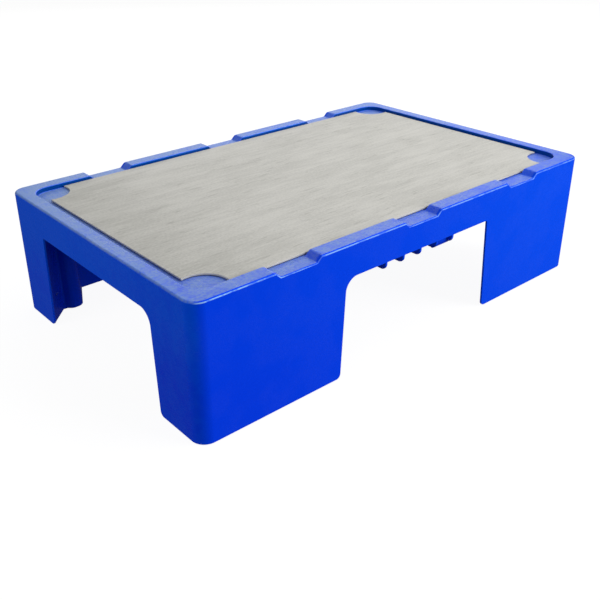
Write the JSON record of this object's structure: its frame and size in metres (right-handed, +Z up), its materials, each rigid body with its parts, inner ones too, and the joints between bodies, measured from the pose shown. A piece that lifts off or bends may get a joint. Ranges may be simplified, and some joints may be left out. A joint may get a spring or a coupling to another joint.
{
  "type": "dog training platform",
  "caption": "Low rectangular dog training platform: moulded deck on hollow corner legs, notched rim, and a grey traction mat that lifts out by its scalloped corners.",
  "frame": {"origin": "on the floor, midway between the four feet", "axes": "+X along the platform's length, towards the right as the picture shows it; +Y across it, away from the camera's side; +Z up"},
  "size_m": [0.914, 0.572, 0.233],
  "materials": {
    "moulded_plastic": "satin moulded",
    "mat": "fine linear grain",
    "foot_rubber": "matte",
    "screw_steel": "zinc plated",
    "hook_fastener": "hook tape",
    "loop_fastener": "loop tape"
  },
  "bodies": {
    "platform": {"platform_body": "moulded_plastic", "foot_near_left": "foot_rubber", "foot_near_right": "foot_rubber", "foot_far_left": "foot_rubber", "foot_far_right": "foot_rubber", "foot_screw_near_left": "screw_steel", "foot_screw_near_right": "screw_steel", "foot_screw_far_left": "screw_steel", "foot_screw_far_right": "screw_steel", "hook_pad_near_left": "hook_fastener", "hook_pad_near_right": "hook_fastener", "hook_pad_far_left": "hook_fastener", "hook_pad_far_right": "hook_fastener"},
    "mat": {"traction_mat": "mat", "loop_pad_near_left": "loop_fastener", "loop_pad_near_right": "loop_fastener", "loop_pad_far_left": "loop_fastener", "loop_pad_far_right": "loop_fastener"}
  },
  "joints": [
    {"name": "mat_lift", "type": "slide", "parent": "platform", "child": "mat", "axis": [0, 0, 1], "range_m": [0, 0.06]}
  ]
}
